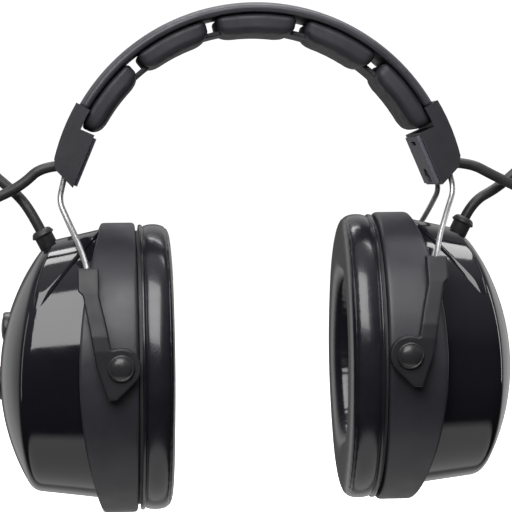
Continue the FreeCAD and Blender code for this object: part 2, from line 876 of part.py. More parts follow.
def build_cushion(side):
    face, back, z = "cushion_face_x", "ring_inner_x - 1.2", "cup_z"
    outer = oval_slab(f"{side}_pad_outer", "cushion_half_width", "cushion_half_height", face, back, z)
    ear = oval_slab(
        f"{side}_pad_ear", "ear_half_width", "ear_half_height", f"{face} - 1", f"{back} + 1", z
    )
    ring = cut(f"{side}_pad_ring", outer, ear)
    rounded = fillet(
        f"{side}_pad_round", ring, "cushion_round", lambda e: e.BoundBox.XMax < number(face) + 0.1
    )
    seat(rounded, side, f"{side}_cushion")
    plate = oval_slab(
        f"{side}_plate_outer", "plate_outer_width", "plate_outer_height", back, "ring_inner_x", z
    )
    opening = oval_slab(
        f"{side}_plate_port",
        "plate_port_width",
        "plate_port_height",
        f"{back} - 1",
        "ring_inner_x + 1",
        z,
    )
    seat(cut(f"{side}_plate_cut", plate, opening), side, f"{side}_cushion_plate")


def build_inside(side):
    """Foam, baffle and speaker, and the electronics of that side."""
    foam = oval_slab(
        f"{side}_foam_slab",
        "foam_half_width",
        "foam_half_height",
        "ring_inner_x + ring_wall",
        "foam_end_x",
        "cup_z",
    )
    seat(foam, side, f"{side}_foam_liner")

    back = "baffle_x + baffle_thick"
    disc = oval_slab(
        f"{side}_baffle_disc", "baffle_half_width", "baffle_half_height", "baffle_x", back, "base_z"
    )
    posts = []
    for y in (-1, 1):
        for z in (-1, 1):
            start = (back, f"{y} * post_y", f"speaker_z + {z} * post_rise")
            posts.append(rod(f"{side}_post", "post_radius", start, "post_length", "x"))
    port_start = ("baffle_x - 2", "0", "speaker_z")
    sound_port = rod(f"{side}_sound_port", "sound_port_radius", port_start, "baffle_thick + 4", "x")
    baffle = cut(f"{side}_baffle_cut", fuse(f"{side}_baffle_all", disc, *posts), sound_port)
    seat(baffle, side, f"{side}_baffle")

    cone_start = (back, "0", "speaker_z")
    cone = rod(f"{side}_speaker_frame", "speaker_radius", cone_start, "speaker_thick", "x")
    magnet_start = (f"{back} + speaker_thick", "0", "speaker_z")
    magnet = rod(f"{side}_speaker_magnet", "magnet_radius", magnet_start, "magnet_thick", "x")
    seat(fuse(f"{side}_speaker_all", cone, magnet), side, f"{side}_speaker")
    if side == "left":
        build_board()
    else:
        build_battery_bay()


BOARD_X = "baffle_x + baffle_thick + post_length"


def build_board():
    """The circuit board on the left baffle's posts, with a switch behind each button."""
    board_face = f"{BOARD_X} + board_thick"
    wide = ("-board_half_width", "board_half_width")
    board = block("board", (BOARD_X, board_face), wide, ("board_foot", "board_head"))
    switches = []
    for name, z in KEY_LEVELS.items():
        reach = f"{key_foot(z)} - key_travel - 0.2 - ({board_face})"
        start = (board_face, "key_y", z)
        switches.append(rod(f"switch_{name}", "switch_radius", start, reach, "x"))
    seat(fuse("board_all", board, *switches), "left", "circuit_board")
    for name, z in KEY_LEVELS.items():
        build_key(name, z)


def build_battery_bay():
    """The cradle on the right baffle's posts, with its two cells and their contacts."""
    cradle = block(
        "cradle_block",
        (BOARD_X, "cradle_end_x"),
        ("-cradle_half_width", "cradle_half_width"),
        ("cradle_foot", "cradle_head"),
    )
    hollow = block(
        "cradle_hollow",
        (f"{BOARD_X} + cradle_wall - 0.2", "cradle_end_x + 1"),
        ("cradle_wall - cradle_half_width", "cradle_half_width - cradle_wall"),
        ("cradle_foot + cradle_end_wall", "cradle_head - cradle_end_wall"),
    )
    seat(cut("cradle_cut", cradle, hollow), "right", "battery_cradle")
    cells = []
    contacts = []
    cell_end = "cell_foot + cell_length"
    for y in (-1, 1):
        side_y = f"{y} * cell_y"
        for name, radius, z, length in (
            ("cell", "cell_radius", "cell_foot", "cell_length"),
            ("cell_tip", "cell_tip_radius", cell_end, "contact_thick"),
        ):
            at = ("cell_x", side_y, z)
            cells.append(primitive("Cylinder", name, at=at, Radius=radius, Height=length))
        for z in ("cradle_foot + cradle_end_wall", f"{cell_end} + contact_thick"):
            at = ("cell_x", side_y, z)
            contact = primitive(
                "Cylinder", "contact", at=at, Radius="contact_radius", Height="contact_thick"
            )
            contacts.append(contact)
    seat(fuse("cells", *cells), "right", "batteries")
    seat(fuse("contacts_all", *contacts), "right", "battery_contacts")


def key_foot(z):
    """Where a button's inner end lies: a fixed depth under the domed face."""
    rise = f"sqrt(face_radius ^ 2 - ({z} - face_z) ^ 2)"
    return f"shell_crest_x - face_radius + {rise} - key_depth"


def build_key(name, z):
    """A round push button: a flange inside the shell and a rounded cap outside."""
    foot = key_foot(z)
    stem = rod(f"key_{name}_stem", "key_radius", (foot, "key_y", z), "key_length", "x")
    flange = rod(f"key_{name}_flange", "key_radius + 1", (foot, "key_y", z), "1.2", "x")
    rounded = fillet(
        f"key_{name}_round",
        stem,
        "key_round",
        lambda e: e.BoundBox.XMin > number(f"{foot} + key_length") - 0.1 and e.BoundBox.YLength > 1,
    )
    seat(fuse(f"key_{name}_all", rounded, flange), "left", f"{name}_button")


def grommet_piece(kind, name, distance, height, **sizes):
    """A round piece on the grommet's leaning axis, from a distance below its mouth."""
    at = (
        f"grommet_x - ({distance}) * sin(grommet_lean)",
        "0",
        f"grommet_z - ({distance}) * cos(grommet_lean)",
    )
    turn = ((0, 1, 0), number("grommet_lean"))
    return primitive(kind, name, turn=turn, at=at, Height=height, **sizes)


def build_top_cover(side):
    """A raised cover over the top of the shell, and the grommet where the cable goes in."""
    raised = shell_sides(f"{side}_cover_form", "-cover_rise")
    core = shell_sides(f"{side}_cover_core", "0")
    column = doc.addObject("Part::Extrusion", f"{side}_cover_column")
    column.Base = primitive(
        "Ellipse",
        f"{side}_cover_outline",
        turn=((0, 0, 1), 90),
        at=("cover_x", "0", "-100"),
        MajorRadius="cover_reach",
        MinorRadius="cover_depth",
    )
    column.DirMode = "Custom"
    column.Dir = Vector(0, 0, 1)
    column.Solid = True
    bind(column, LengthFwd="60")
    cover = cut(f"{side}_cover_cut", common(f"{side}_cover_raised", raised, column), core)
    seat(cover, side, f"{side}_top_cover")
    sleeve = grommet_piece(
        "Cylinder", f"{side}_sleeve", "grommet_length", "grommet_length", Radius="grommet_radius"
    )
    lip = grommet_piece(
        "Cone",
        f"{side}_sleeve_lip",
        "2",
        "2",
        Radius1="grommet_radius + 0.8",
        Radius2="grommet_radius",
    )
    seat(fuse(f"{side}_grommet_all", sleeve, lip), side, f"{side}_cable_grommet")


# ---------------------------------------------------------------- cable loops

# Corners of each loop outside its cap, on to the cup's grommet: (x, y, z).
CABLE_CORNERS = {
    "right": [
        (78.4, -5.0, -46.4),
        (87.6, -4.9, -51.4),
        (97.8, -4.4, -56.2),
        (108.2, -3.4, -61.6),
        (118.0, -1.6, -65.2),
        (127.3, 1.0, -62.0),
        (132.6, 2.6, -53.4),
        (131.9, 3.4, -43.3),
        (124.9, 3.8, -36.0),
        (114.9, 3.8, -35.3),
        (106.6, 3.8, -41.6),
        (98.9, 3.6, -48.9),
        (90.4, 2.6, -56.0),
    ],
    "left": [
        (77.4, 5.0, -46.4),
        (84.6, 4.9, -53.2),
        (93.8, 4.5, -57.9),
        (104.0, 3.6, -61.4),
        (114.4, 2.2, -64.4),
        (124.4, -0.4, -61.8),
        (131.4, -2.2, -54.4),
        (132.4, -3.2, -44.4),
        (126.8, -3.6, -36.1),
        (117.4, -3.8, -33.4),
        (108.4, -3.8, -37.6),
        (100.6, -3.8, -44.6),
        (93.0, -3.4, -51.4),
        (85.8, -2.2, -57.6),
    ],
}


def build_cable(side):
    start = Vector(*(number(text) for text in CABLE_START[side]))
    corners = [start] + [Vector(*corner) for corner in CABLE_CORNERS[side]]
    drop = "left_drop" if side == "left" else "0"
    shift = Vector(number(f"{drop} * sin(slide_lean)"), 0, number(f"-{drop} * cos(slide_lean)"))
    finish = Vector(number("grommet_x"), 0, number("grommet_z")) + shift
    last_run = number("cable_last_run")
    axis = Vector(number("sin(grommet_lean)"), 0, number("cos(grommet_lean)"))
    corners += [finish + axis * last_run, finish]
    solid, radii, length = tube(f"{side}_loop", corners, number("cable_radius"))
    print(f"{side} cable: {length:.0f} mm, bends", " ".join(f"{r:.0f}" for r in radii))
    seat(group(solid), side, f"{side}_cable_loop", parked=False)


build_band()
build_liner()
for side_name in SIDES:
    build_cap(side_name)
    build_yoke(side_name)
    build_ring(side_name)
    build_shell(side_name)
    build_cushion(side_name)
    build_inside(side_name)
    build_top_cover(side_name)
    build_cable(side_name)

doc.recompute()
for obj in doc.Objects:
    if any(word in ("Invalid", "Error") for word in obj.State):
        raise RuntimeError(f"{obj.Name} ({obj.Label}) failed: {obj.State}")
for piece in nodes:
    if piece.Shape.isNull() or not piece.Shape.isValid():
        raise RuntimeError(f"{piece.Label} is not a valid shape")
    piece.Shape.exportStep(f"parts/{piece.Label}.step")
print(len(nodes), "nodes")
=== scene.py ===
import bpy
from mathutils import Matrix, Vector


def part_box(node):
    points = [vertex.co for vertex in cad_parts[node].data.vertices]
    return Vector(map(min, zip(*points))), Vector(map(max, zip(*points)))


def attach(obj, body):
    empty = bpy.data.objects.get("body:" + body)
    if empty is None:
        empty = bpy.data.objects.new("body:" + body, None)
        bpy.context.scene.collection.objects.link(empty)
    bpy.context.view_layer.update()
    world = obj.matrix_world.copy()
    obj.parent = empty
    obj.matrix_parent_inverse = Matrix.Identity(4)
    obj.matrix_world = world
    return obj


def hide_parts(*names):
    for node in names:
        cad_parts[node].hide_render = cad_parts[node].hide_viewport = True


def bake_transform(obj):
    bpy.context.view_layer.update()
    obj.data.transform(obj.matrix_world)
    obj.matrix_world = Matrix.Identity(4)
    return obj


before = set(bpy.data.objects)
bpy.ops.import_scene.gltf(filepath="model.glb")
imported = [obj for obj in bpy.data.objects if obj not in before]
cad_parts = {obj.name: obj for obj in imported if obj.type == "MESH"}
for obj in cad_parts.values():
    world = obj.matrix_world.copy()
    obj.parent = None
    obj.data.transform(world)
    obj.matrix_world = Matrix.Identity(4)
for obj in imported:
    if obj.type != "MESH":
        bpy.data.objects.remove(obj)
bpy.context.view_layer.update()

import math

import bmesh
import bpy
import numpy as np
from mathutils import Vector
from mathutils.kdtree import KDTree

# A headband earmuff. Camera, lights, floor and materials are in metres. The pieces are in
# millimetres: those of a cup are built as the right-hand one and placed on either side by at().

MM = 0.001
SIDES = ("left", "right")
rng = np.random.default_rng(7)


def centre(node):
    low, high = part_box(node)
    return np.array((low + high) / 2)


# The left cup is the right one turned half round about Z and parked a little lower.
LEFT_SHIFT = centre("left_mounting_ring") - centre("right_mounting_ring") * (-1, -1, 1)


def at(side, points, parked=True):
    """Right-hand millimetres to the row frame in metres, on that side."""
    placed = np.asarray(points, float) * MM
    if side == "left":
        placed = placed * (-1, -1, 1)
        if parked:
            placed = placed + LEFT_SHIFT
    return placed


# ------------------------------------------------------------------ camera, light and floor


def set_camera():
    target = Vector((0.0002, 0, -0.0801))
    distance, yaw, roll, rise = 0.85, math.radians(4.6), math.radians(0.54), 0.027
    eye = target + Vector((-distance * math.sin(yaw), -distance * math.cos(yaw), rise))
    forward = (target - eye).normalized()
    right = forward.cross(Vector((0, 0, 1))).normalized()
    up = right.cross(forward)
    across = math.cos(roll) * right - math.sin(roll) * up
    upward = math.sin(roll) * right + math.cos(roll) * up
    data = bpy.data.cameras.new("camera")
    data.sensor_width = 36
    data.lens = 163
    camera = bpy.data.objects.new("camera", data)
    bpy.context.collection.objects.link(camera)
    for column, axis in enumerate((across, upward, -forward)):
        for row in range(3):
            camera.matrix_world[row][column] = axis[row]
    camera.matrix_world.translation = eye
    bpy.context.scene.camera = camera


def area_light(name, place, aim, size, power):
    data = bpy.data.lights.new(name, "AREA")
    data.shape = "RECTANGLE"
    data.size, data.size_y = size
    data.energy = power
    light = bpy.data.objects.new(name, data)
    light.location = place
    light.rotation_euler = (Vector(aim) - Vector(place)).to_track_quat("-Z", "Y").to_euler()
    bpy.context.collection.objects.link(light)


def sky_band(nodes, links, source, stops):
    """A world brightness that depends on one part of the direction, from (place, brightness) stops."""
    ramp = nodes.new("ShaderNodeValToRGB")
    links.new(source, ramp.inputs["Fac"])
    marks = ramp.color_ramp.elements
    while len(marks) < len(stops):
        marks.new(0.5)
    for mark, (place, value) in zip(marks, stops):
        mark.position = (place + 1) / 2
        mark.color = (value, value, value, 1)
    return ramp.outputs["Color"]


def set_light():
    middle = (0, 0, -0.09)
    area_light("softbox_front", (-0.22, -0.88, 0.62), middle, (0.85, 0.95), 14)
    area_light("strip_left", (-1.2, 0.1, 0.05), middle, (0.2, 0.9), 0.9)
    area_light("strip_right", (1.2, 0.3, 0.1), middle, (0.2, 0.9), 2.0)
    area_light("top_back", (0.1, 0.35, 1.05), middle, (1.2, 0.5), 12)
    world = bpy.data.worlds.new("studio")
    bpy.context.scene.world = world
    world.use_nodes = True
    nodes, links = world.node_tree.nodes, world.node_tree.links
    nodes.clear()
    out = nodes.new("ShaderNodeOutputWorld")
    seen = nodes.new("ShaderNodeBackground")
    seen.inputs["Color"].default_value = (1, 1, 1, 1)
    seen.inputs["Strength"].default_value = 1.05
    # Around the object: a pale table below, dark flags at its own height, a white backdrop behind.
    direction = nodes.new("ShaderNodeTexCoord").outputs["Generated"]
    parts = nodes.new("ShaderNodeSeparateXYZ")
    scaled = nodes.new("ShaderNodeVectorMath")
    scaled.operation = "MULTIPLY_ADD"
    scaled.inputs[1].default_value = (0.5, 0.5, 0.5)
    scaled.inputs[2].default_value = (0.5, 0.5, 0.5)
    links.new(direction, scaled.inputs[0])
    links.new(scaled.outputs["Vector"], parts.inputs["Vector"])
    heights = [(-1, 0.8), (-0.83, 0.95), (-0.76, 0.02), (0.12, 0.02), (0.3, 0.1), (0.8, 0.25), (1, 0.6)]
    depths = [(-1, 0.0), (0.45, 0.0), (0.8, 0.6), (0.93, 0.55), (0.97, 0.1), (1, 0.1)]
    up = sky_band(nodes, links, parts.outputs["Z"], heights)
    back = sky_band(nodes, links, parts.outputs["Y"], depths)
    both = nodes.new("ShaderNodeMix")
    both.data_type = "RGBA"
    both.blend_type = "LIGHTEN"
    both.inputs[0].default_value = 1
    links.new(up, both.inputs[6])
    links.new(back, both.inputs[7])
    around = nodes.new("ShaderNodeBackground")
    links.new(both.outputs[2], around.inputs["Color"])
    path = nodes.new("ShaderNodeLightPath")
    mix = nodes.new("ShaderNodeMixShader")
    links.new(path.outputs["Is Camera Ray"], mix.inputs["Fac"])
    links.new(around.outputs["Background"], mix.inputs[1])
    links.new(seen.outputs["Background"], mix.inputs[2])
    links.new(mix.outputs["Shader"], out.inputs["Surface"])
    bpy.context.scene.view_settings.view_transform = "Standard"


# ------------------------------------------------------------------ materials


class Shader:
    """A Principled material whose detail comes from procedural textures in object space."""

    def __init__(self, name, colour, roughness, metallic=0.0, coat=0.0, specular=0.5):
        self.material = bpy.data.materials.new(name)
        self.material.use_nodes = True
        self.tree = self.material.node_tree
        self.shader = self.tree.nodes["Principled BSDF"]
        self.colour, self.roughness = colour, roughness
        self.set("Base Color", (*colour, 1))
        self.set("Roughness", roughness)
        self.set("Metallic", metallic)
        self.set("Coat Weight", coat)
        self.set("Coat Roughness", 0.06)
        self.set("Specular IOR Level", specular)
        self.place = self.node("ShaderNodeTexCoord").outputs["Object"]
        self.height = None

    def node(self, kind, **values):
        made = self.tree.nodes.new(kind)
        for key, value in values.items():
            if key in made.inputs:
                made.inputs[key].default_value = value
            else:
                setattr(made, key, value)
        return made

    def set(self, socket, value):
        self.shader.inputs[socket].default_value = value

    def link(self, source, target):
        self.tree.links.new(source, target)

    def stretched(self, scale):
        mapping = self.node("ShaderNodeMapping")
        mapping.inputs["Scale"].default_value = scale
        self.link(self.place, mapping.inputs["Vector"])
        return mapping.outputs["Vector"]

    def noise(self, size, detail=3.0, stretch=None):
        """Noise whose blobs are about size metres across, from 0 to 1."""
        texture = self.node("ShaderNodeTexNoise", Scale=1 / size, Detail=detail, Roughness=0.55)
        self.link(self.stretched(stretch) if stretch else self.place, texture.inputs["Vector"])
        return texture.outputs["Fac"]

    def cells(self, size):
        """Distance to the edges of cells about size metres across."""
        texture = self.node("ShaderNodeTexVoronoi", Scale=1 / size, feature="DISTANCE_TO_EDGE")
        self.link(self.place, texture.inputs["Vector"])
        return texture.outputs["Distance"]

    def remap(self, value, low, high, new_low, new_high):
        node = self.node("ShaderNodeMapRange")
        for key, number in (
            ("From Min", low),
            ("From Max", high),
            ("To Min", new_low),
            ("To Max", new_high),
        ):
            node.inputs[key].default_value = number
        self.link(value, node.inputs["Value"])
        return node.outputs["Result"]

    def tint(self, value, dark, light):
        """Base colour from dark to light, as shares of the material's own colour."""
        ramp = self.node("ShaderNodeValToRGB")
        ends = ramp.color_ramp.elements
        ends[0].position, ends[1].position = 0.3, 0.7
        ends[0].color = (*[c * dark for c in self.colour], 1)
        ends[1].color = (*[min(1, c * light) for c in self.colour], 1)
        self.link(value, ramp.inputs["Fac"])
        self.link(ramp.outputs["Color"], self.shader.inputs["Base Color"])
        return self

    def gloss(self, value, spread):
        """Roughness that wanders by spread about the material's own."""
        low, high = self.roughness - spread, self.roughness + spread
        self.link(self.remap(value, 0.3, 0.7, low, high), self.shader.inputs["Roughness"])
        return self

    def bump(self, value, depth):
        """Adds relief of about depth metres."""
        node = self.node("ShaderNodeBump", Strength=1.0, Distance=depth)
        self.link(value, node.inputs["Height"])
        if self.height:
            self.link(self.height, node.inputs["Normal"])
        self.height = node.outputs["Normal"]
        self.link(self.height, self.shader.inputs["Normal"])
        return self


def moulded(name, colour, roughness, grain=0.0005, depth=0.00003, coat=0.0):
    """Moulded plastic: a fine spark grain, slow tone changes and a few rubbed places."""
    made = Shader(name, colour, roughness, coat=coat)
    made.tint(made.noise(0.02, 4), 0.86, 1.16)
    made.gloss(made.noise(0.008, 5), 0.06)
    made.bump(made.noise(grain, 2), depth)
    return made.material


def make_materials():
    found = {}

    def add(key, material):
        found[key] = material

    rubber = Shader("band_rubber", (0.056, 0.056, 0.066), 0.42)
    rubber.tint(rubber.noise(0.015, 5), 0.8, 1.25)
    rubber.gloss(rubber.noise(0.004, 4), 0.1)
    rubber.bump(rubber.noise(0.00035, 3), 0.00004)
    add("band", rubber.material)

    liner = Shader("liner_rubber", (0.03, 0.03, 0.037), 0.55)
    liner.tint(liner.noise(0.01, 5), 0.8, 1.25)
    liner.gloss(liner.noise(0.003, 4), 0.1)
    liner.bump(liner.noise(0.0003, 3), 0.00005)
    add("liner", liner.material)

    add("cap", moulded("cap_plastic", (0.028, 0.028, 0.034), 0.42))
    add("arm", moulded("arm_plastic", (0.009, 0.009, 0.012), 0.5))
    add("ring", moulded("ring_plastic", (0.032, 0.032, 0.039), 0.4, grain=0.0006))
    add("inner", moulded("inner_plastic", (0.03, 0.03, 0.03), 0.55))
    add("pin", moulded("pin_plastic", (0.03, 0.03, 0.032), 0.28))

    # The plate's pale lavender base colour is painted reflection: it stands in for the light the plate
    # reflects from below and left. Its coat and low roughness are its real gloss.
    plate = Shader("cap_gloss", (0.19, 0.185, 0.235), 0.24, coat=0.4)
    plate.tint(plate.noise(0.02, 3), 0.9, 1.1)
    plate.gloss(plate.noise(0.002, 5), 0.05)
    plate.bump(plate.noise(0.0008, 2), 0.000006)
    add("plate", plate.material)

    shell = Shader("shell_gloss", (0.011, 0.011, 0.015), 0.09, coat=0.2)
    shell.tint(shell.noise(0.03, 3), 0.85, 1.15)
    shell.gloss(shell.noise(0.006, 6), 0.03)
    shell.bump(shell.noise(0.004, 3), 0.000012)
    shell.bump(shell.noise(0.00025, 2, stretch=(1, 1, 0.2)), 0.000003)
    add("shell", shell.material)

    key = Shader("button_rubber", (0.03, 0.03, 0.032), 0.35)
    key.tint(key.noise(0.005, 4), 0.85, 1.2)
    key.gloss(key.noise(0.002, 4), 0.07)
    key.bump(key.noise(0.0003, 2), 0.00002)
    add("key", key.material)

    vinyl = Shader("cushion_vinyl", (0.015, 0.015, 0.02), 0.22, coat=0.35)
    vinyl.tint(vinyl.noise(0.012, 4), 0.85, 1.2)
    vinyl.gloss(vinyl.noise(0.004, 4), 0.03)
    vinyl.bump(vinyl.remap(vinyl.cells(0.0007), 0, 0.25, 0, 1), 0.000008)
    vinyl.bump(vinyl.noise(0.004, 3), 0.00004)
    add("vinyl", vinyl.material)

    foam = Shader("foam", (0.02, 0.02, 0.02), 0.95, specular=0.2)
    foam.tint(foam.noise(0.001, 4), 0.4, 1.8)
    foam.bump(foam.remap(foam.cells(0.0011), 0, 0.3, 0, 1), 0.0004)
    add("foam", foam.material)

    cable = Shader("cable_rubber", (0.03, 0.03, 0.032), 0.48)
    cable.tint(cable.noise(0.006, 4), 0.8, 1.25)
    cable.gloss(cable.noise(0.003, 4), 0.08)
    cable.bump(cable.noise(0.0004, 3), 0.00003)
    add("cable", cable.material)

    steel = Shader("wire_steel", (0.6, 0.6, 0.61), 0.34, metallic=0.9)
    steel.tint(steel.noise(0.006, 3), 0.9, 1.08)
    steel.gloss(steel.noise(0.002, 3), 0.05)
    steel.bump(steel.noise(0.0012, 2), 0.000002)
    add("steel", steel.material)

    metal = Shader("speaker_metal", (0.3, 0.3, 0.31), 0.35, metallic=0.8)
    metal.gloss(metal.noise(0.003, 4), 0.08)
    metal.bump(metal.noise(0.0006, 3), 0.00001)
    add("metal", metal.material)

    board = Shader("board_mask", (0.02, 0.1, 0.045), 0.3)
    board.tint(board.noise(0.0016, 1, stretch=(1, 0.2, 1)), 0.7, 1.5)
    board.bump(board.noise(0.0012, 2), 0.00005)
    add("board", board.material)

    wrap = Shader("cell_wrap", (0.2, 0.2, 0.22), 0.25, metallic=0.3)
    wrap.tint(wrap.noise(0.02, 2, stretch=(1, 1, 0.4)), 0.6, 1.5)
    wrap.gloss(wrap.noise(0.002, 4), 0.05)
    add("wrap", wrap.material)

    nickel = Shader("contact_nickel", (0.75, 0.74, 0.7), 0.2, metallic=1.0)
    nickel.gloss(nickel.noise(0.001, 3), 0.08)
    add("nickel", nickel.material)

    floor = Shader("floor", (0.88, 0.88, 0.88), 0.6)
    floor.tint(floor.noise(0.4, 3), 0.985, 1.015)
    floor.set("Emission Color", (1, 1, 1, 1))
    floor.set("Emission Strength", 0.95)
    add("floor", floor.material)
    return found


# ------------------------------------------------------------------ mesh helpers


def make(name, points, faces):
    mesh = bpy.data.meshes.new(name)
    mesh.from_pydata([tuple(p) for p in points], [], faces)
    mesh.validate()
    for polygon in mesh.polygons:
        polygon.use_smooth = True
    obj = bpy.data.objects.new(name, mesh)
    bpy.context.collection.objects.link(obj)
    return obj


def grid_faces(rows, columns, wrap_rows=False, wrap_columns=False, start=0):
    """Quads of a grid of points stored row by row."""
    faces = []
    for i in range(rows if wrap_rows else rows - 1):
        for j in range(columns if wrap_columns else columns - 1):
            a, b = i % rows, (i + 1) % rows
            c, d = j % columns, (j + 1) % columns
            quad = (a * columns + c, b * columns + c, b * columns + d, a * columns + d)
            faces.append(tuple(start + k for k in quad))
    return faces


def outward(obj):
    """Makes a closed mesh's faces point outward."""
    bm = bmesh.new()
    bm.from_mesh(obj.data)
    bmesh.ops.recalc_face_normals(bm, faces=bm.faces)
    if bm.calc_volume(signed=True) < 0:
        bmesh.ops.reverse_faces(bm, faces=bm.faces)
    bm.to_mesh(obj.data)
    bm.free()
    return obj


def sharp_normals(obj, degrees=35):
    """Smooth shading with hard edges kept where faces turn sharply."""
    bm = bmesh.new()
    bm.from_mesh(obj.data)
    for face in bm.faces:
        face.smooth = True
    for edge in bm.edges:
        if len(edge.link_faces) == 2 and edge.calc_face_angle(0) > math.radians(degrees):
            edge.smooth = False
    bm.to_mesh(obj.data)
    bm.free()


def dress(obj, material, body, slot, *nodes):
    """Gives a piece its material and the body it rides on, and hides the nodes it stands for; slot is not
    used.
    """
    obj.data.materials.clear()
    obj.data.materials.append(material)
    if body:
        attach(obj, body)
    if nodes:
        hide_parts(*nodes)
    return obj


def modify(obj, kind, **settings):
    made = obj.modifiers.new(kind.lower(), kind)
    for key, value in settings.items():
        setattr(made, key, value)
    return made


def apply_modifiers(obj):
    """Replaces an object's mesh by what its modifiers make of it."""
    bpy.context.view_layer.update()
    shape = obj.evaluated_get(bpy.context.evaluated_depsgraph_get())
    mesh = bpy.data.meshes.new_from_object(shape)
    obj.modifiers.clear()
    obj.data = mesh
    return obj


def crisp(obj, width):
    """Rounds the hard edges of a CAD node by a small bevel."""
    modify(obj, "DECIMATE", decimate_type="DISSOLVE", angle_limit=math.radians(1.5))
    modify(
        obj,
        "BEVEL",
        width=width * MM,
        segments=3,
        limit_method="ANGLE",
        angle_limit=math.radians(35),
        harden_normals=False,
    )
    for polygon in obj.data.polygons:
        polygon.use_smooth = True
    modify(obj, "WEIGHTED_NORMAL", keep_sharp=False)


def rounded_off(obj, grain, passes):
    """Rounds a moulded CAD node all over, edges and inner corners alike."""
    modify(obj, "REMESH", mode="VOXEL", voxel_size=grain * MM, use_smooth_shade=True)
    modify(obj, "SMOOTH", factor=0.5, iterations=passes)


def catmull(points, steps):
    """Points on a smooth closed curve through the given ones."""
    p = np.asarray(points, float)
    made = []
    for i in range(len(p)):
        a, b, c, d = (p[(i + k) % len(p)] for k in (-1, 0, 1, 2))
        bow, twist = 2 * a - 5 * b + 4 * c - d, 3 * b - 3 * c + d - a
        for step in range(steps):
            s = step / steps
            made.append(0.5 * (2 * b + (c - a) * s + bow * s**2 + twist * s**3))
    return np.array(made)


def oval(half_y, half_z, count):
    """Points and outward normals of an upright ellipse, in (y, z)."""
    angle = np.linspace(0, 2 * np.pi, count, endpoint=False)
    point = np.stack([half_y * np.cos(angle), half_z * np.sin(angle)], -1)
    normal = np.stack([np.cos(angle) / half_y, np.sin(angle) / half_z], -1)
    return angle, point, normal / np.linalg.norm(normal, axis=1, keepdims=True)


def spin(profile, count, axis_point, axis, across):
    """A closed surface of revolution from (distance along axis, radius) pairs that start and end on it."""
    axis, across = np.array(axis, float), np.array(across, float)
    third = np.cross(axis, across)
    base = np.array(axis_point, float)
    angle = np.linspace(0, 2 * np.pi, count, endpoint=False)
    ring = np.cos(angle)[:, None] * across + np.sin(angle)[:, None] * third
    inner = profile[1:-1]
    points = [base + axis * profile[0][0]]
    for along, radius in inner:
        points.extend(base + axis * along + ring * radius)
    points.append(base + axis * profile[-1][0])
    faces = grid_faces(len(inner), count, wrap_columns=True, start=1)
    last = len(points) - 1
    for j in range(count):
        following = (j + 1) % count
        faces.append((0, 1 + j, 1 + following))
        tail = 1 + (len(inner) - 1) * count
        faces.append((last, tail + following, tail + j))
    return np.array(points), faces


def rounded_block(half, radius, cuts):
    """A box with rounded edges, as points about its middle and faces."""
    bm = bmesh.new()
    bmesh.ops.create_cube(bm, size=2)
    bmesh.ops.subdivide_edges(bm, edges=bm.edges[:], cuts=cuts, use_grid_fill=True)
    unit = np.array([v.co[:] for v in bm.verts])
    faces = [tuple(v.index for v in f.verts) for f in bm.faces]
    bm.free()
    half = np.array(half, float)
    point = np.sign(unit) * (1 - (1 - np.abs(unit)) ** 1.3) * half
    inner = np.clip(point, radius - half, half - radius)
    away = point - inner
    length = np.linalg.norm(away, axis=1, keepdims=True)
    return inner + away / length * radius, faces


# ------------------------------------------------------------------ headband

# Radii are from the band's centre, and the angles are degrees from the crown.
BAND_RADIUS = 74.1
BAND_CENTRE_Z = -62.3
COVER_END = 59.4
PAD_EDGES = (13.8, 40.0)
PAD_GAP = 1.6
LAST_PAD = 64.6
PAD_RADIUS = 66.3
PAD_HALF_WIDTH = 16.0
PAD_HALF_DEPTH = 4.0
LINK_RADIUS = 64.4


def bent(points):
    """Wraps (angle in degrees, y, radius) round the band's centre."""
    angle = np.radians(points[:, 0])
    x = points[:, 2] * np.sin(angle)
    z = points[:, 2] * np.cos(angle) + BAND_CENTRE_Z
    return np.stack([x, points[:, 1], z], -1)


def cover_section():
    """Half of the cover's outline as (y, radius): flat inside, a bead at the edge, crowned outside."""
    inner = BAND_RADIUS - 3.8
    bead_y, bead_r, bead = 16.35, inner + 1.5, 1.45
    turn = np.radians(np.linspace(-100, 118, 16))
    rows = [(y, inner) for y in np.linspace(0, bead_y - 1.2, 8)]
    rows += [(bead_y + bead * math.cos(a), bead_r + bead * math.sin(a)) for a in turn]
    rows += [(15.0, 73.35), (14.3, 73.75), (13.2, 73.98)]
    rows += [(y, BAND_RADIUS + 0.12 * (1 - (y / 13) ** 2)) for y in (12, 9, 6, 3)]
    return rows


def build_cover(materials):
    half = cover_section()
    loop = half + [(0, BAND_RADIUS + 0.12)] + [(-y, r) for y, r in half[::-1][:-1]]
    angles = np.linspace(-COVER_END, COVER_END, 140)
    rows = np.array([[(a, y, r) for y, r in loop] for a in angles]).reshape(-1, 3)
    faces = grid_faces(len(angles), len(loop), wrap_columns=True)
    count = len(loop)
    faces.append(tuple(range(count)))
    faces.append(tuple((len(angles) - 1) * count + k for k in reversed(range(count))))
    obj = outward(make("headband_cover", bent(rows) * MM, faces))
    dress(obj, materials["band"], "headband", "band_rubber", "band_cover")


